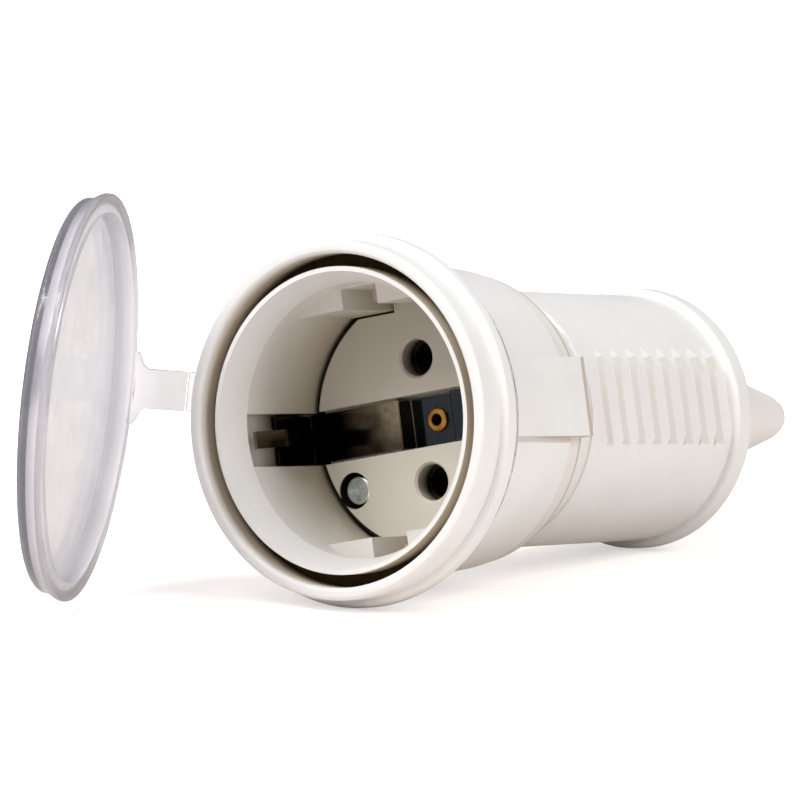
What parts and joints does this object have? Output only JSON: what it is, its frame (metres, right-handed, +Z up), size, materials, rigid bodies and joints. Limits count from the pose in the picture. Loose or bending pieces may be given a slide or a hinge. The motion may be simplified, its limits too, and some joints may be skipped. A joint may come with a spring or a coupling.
{
  "type": "inline socket connector",
  "caption": "Inline mains socket connector: round recessed socket face with earth clips, ribbed handle, tapered cord grommet and a clear sealing cap on a strap.",
  "frame": {"origin": "centre of the mouth, on the connector's axis in the plane of the lip's front", "axes": "+Z up; +Y from the mouth to the cord end along the lying connector, whose axis dips by the tilt of its rest; +X to the right seen from the mouth, the cap on the -X side"},
  "size_m": [0.0709, 0.1738, 0.0624],
  "materials": {
    "shell_plastic": "satin moulded plastic, warm white",
    "carrier_plastic": "moulded plastic, light grey beige",
    "strip_steel": "plated spring strip, dark reflections",
    "brass": "bare brass",
    "zinc_steel": "bright zinc plate",
    "grommet_rubber": "soft white rubber",
    "clear_plastic": "clear flexible plastic"
  },
  "bodies": {
    "connector": {"front_housing": "shell_plastic", "rear_grip": "shell_plastic", "contact_carrier": "carrier_plastic", "earth_bracket": "strip_steel", "earth_rivet": "brass", "earth_terminal": "brass", "line_contact": "brass", "neutral_contact": "brass", "screw_inserts": "brass", "terminal_screws": "zinc_steel", "insert_screws": "zinc_steel", "cord_clamp_screws": "zinc_steel", "cord_clamp_nuts": "zinc_steel", "cord_clamp_saddle": "carrier_plastic", "cord_grommet": "grommet_rubber", "tether_ring": "clear_plastic"},
    "cap": {"sealing_cap": "clear_plastic"}
  },
  "joints": [
    {"name": "cap_hinge", "type": "hinge", "parent": "connector", "child": "cap", "pos_m": [-0.03405, 0.01088, 0.00086], "axis": [-0.0558, -0.0957, -0.9938], "range_deg": [-65, 90]}
  ]
}
